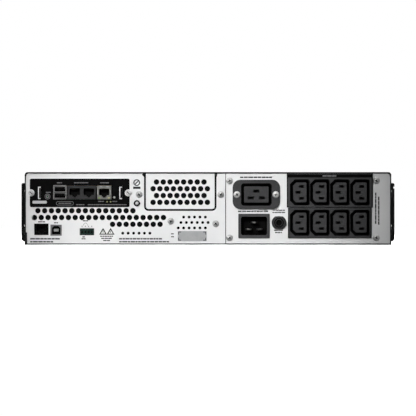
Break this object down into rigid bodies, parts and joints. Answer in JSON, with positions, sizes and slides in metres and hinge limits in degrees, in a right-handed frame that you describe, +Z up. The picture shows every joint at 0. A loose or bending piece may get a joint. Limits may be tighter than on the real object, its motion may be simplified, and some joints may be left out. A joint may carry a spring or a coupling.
{
  "type": "rackmount uninterruptible power supply",
  "caption": "Two-unit rack power supply with a slide-out battery drawer, plug-in network card, outlet banks, fan and front display",
  "frame": {"origin": "centre of the chassis base", "axes": "+Y from the rear panel to the front, +Z up, +X to the right seen from the rear"},
  "size_m": [0.4826, 0.6898, 0.086],
  "materials": {
    "panel_metal": "satin, zinc-plated",
    "frame_steel": "galvanised",
    "black_cover": "fine-textured powder coat",
    "screw_steel": "zinc-plated",
    "bright_screw": "nickel-plated",
    "black_screw": "black oxide",
    "outlet_plastic": "moulded, matt",
    "inlet_plastic": "moulded, matt",
    "pin_metal": "nickel-plated",
    "contact_brass": "plain",
    "breaker_plastic": "matt",
    "breaker_black": "gloss",
    "serial_plastic": "moulded",
    "port_shell": "tin-plated",
    "terminal_green": "moulded",
    "stud_metal": "zinc-plated",
    "plate_metal": "satin",
    "overlay_black": "printed film",
    "board_green": "solder mask",
    "jack_plastic": "moulded",
    "jack_metal": "tin-plated",
    "reset_plastic": "moulded",
    "fan_plastic": "moulded",
    "core_iron": "varnished laminations",
    "coil_wrap": "insulating wrap",
    "heatsink_metal": "extruded",
    "capacitor_sleeve": "sleeve",
    "connector_grey": "moulded",
    "battery_case": "moulded",
    "link_copper": "copper strap",
    "handle_plastic": "moulded",
    "fascia_plastic": "fine-grained",
    "window_glass": "gloss",
    "key_plastic": "moulded"
  },
  "bodies": {
    "chassis": {"rear_panel": "panel_metal", "vent_plate": "panel_metal", "power_panel": "panel_metal", "base_pan": "frame_steel", "battery_bay": "frame_steel", "card_guides": "frame_steel", "top_cover": "black_cover", "left_ear": "black_cover", "right_ear": "black_cover", "rear_panel_screws": "screw_steel", "power_panel_screws": "screw_steel", "c19_outlet_screws": "bright_screw", "chassis_screws": "black_screw", "upper_outlet_bank": "outlet_plastic", "lower_outlet_bank": "outlet_plastic", "c19_outlet": "outlet_plastic", "c20_inlet": "inlet_plastic", "c20_inlet_pins": "pin_metal", "outlet_contacts": "contact_brass", "breaker_body": "breaker_plastic", "breaker_nut": "breaker_plastic", "serial_port": "serial_plastic", "usb_port": "port_shell", "epo_header": "terminal_green", "ground_stud": "stud_metal", "rating_plate": "plate_metal", "control_board": "board_green", "power_board": "board_green", "display_board": "board_green", "fan_shroud": "fan_plastic", "fan_frame": "fan_plastic", "transformer_core": "core_iron", "transformer_coil": "coil_wrap", "heatsinks": "heatsink_metal", "capacitors": "capacitor_sleeve", "battery_socket": "connector_grey", "display_housing": "fascia_plastic", "display_window": "window_glass"},
    "breaker_button": {"breaker_button": "breaker_black"},
    "epo_plug": {"epo_plug": "terminal_green"},
    "fan_rotor": {"fan_rotor": "fan_plastic"},
    "network_card": {"card_faceplate": "panel_metal", "card_overlay": "overlay_black", "card_board": "board_green", "card_usb_ports": "port_shell", "card_io_ports": "jack_plastic", "card_network_port": "jack_metal", "card_thumbscrews": "screw_steel"},
    "card_reset_button": {"card_reset_button": "reset_plastic"},
    "battery_drawer": {"battery_tray": "frame_steel", "battery_blocks": "battery_case", "battery_links": "link_copper", "battery_plug": "connector_grey", "battery_handle": "handle_plastic", "battery_thumbscrews": "screw_steel"},
    "front_fascia": {"front_fascia": "fascia_plastic"},
    "power_button": {"power_button": "key_plastic"},
    "up_button": {"up_button": "key_plastic"},
    "down_button": {"down_button": "key_plastic"},
    "enter_button": {"enter_button": "key_plastic"}
  },
  "joints": [
    {"name": "battery_slide", "type": "slide", "parent": "chassis", "child": "battery_drawer", "axis": [0, 1, 0], "range_m": [0, 0.25]},
    {"name": "fascia_pull", "type": "slide", "parent": "battery_drawer", "child": "front_fascia", "axis": [0, 1, 0], "range_m": [0, 0.04]},
    {"name": "card_slide", "type": "slide", "parent": "chassis", "child": "network_card", "axis": [0, -1, 0], "range_m": [0, 0.13]},
    {"name": "card_reset_press", "type": "slide", "parent": "network_card", "child": "card_reset_button", "axis": [0, 1, 0], "range_m": [0, 0.0007], "stiffness_N_per_m": 1500},
    {"name": "breaker_trip", "type": "slide", "parent": "chassis", "child": "breaker_button", "axis": [0, -1, 0], "range_m": [0, 0.006]},
    {"name": "epo_plug_pull", "type": "slide", "parent": "chassis", "child": "epo_plug", "axis": [0, -1, 0], "range_m": [0, 0.012]},
    {"name": "fan_spin", "type": "hinge", "parent": "chassis", "child": "fan_rotor", "pos_m": [-0.0327, -0.305, 0.043], "axis": [0, 1, 0], "continuous": true},
    {"name": "power_press", "type": "slide", "parent": "chassis", "child": "power_button", "axis": [0, -1, 0], "range_m": [0, 0.0012], "stiffness_N_per_m": 1500},
    {"name": "up_press", "type": "slide", "parent": "chassis", "child": "up_button", "axis": [0, -1, 0], "range_m": [0, 0.0012], "stiffness_N_per_m": 1500},
    {"name": "down_press", "type": "slide", "parent": "chassis", "child": "down_button", "axis": [0, -1, 0], "range_m": [0, 0.0012], "stiffness_N_per_m": 1500},
    {"name": "enter_press", "type": "slide", "parent": "chassis", "child": "enter_button", "axis": [0, -1, 0], "range_m": [0, 0.0012], "stiffness_N_per_m": 1500}
  ]
}
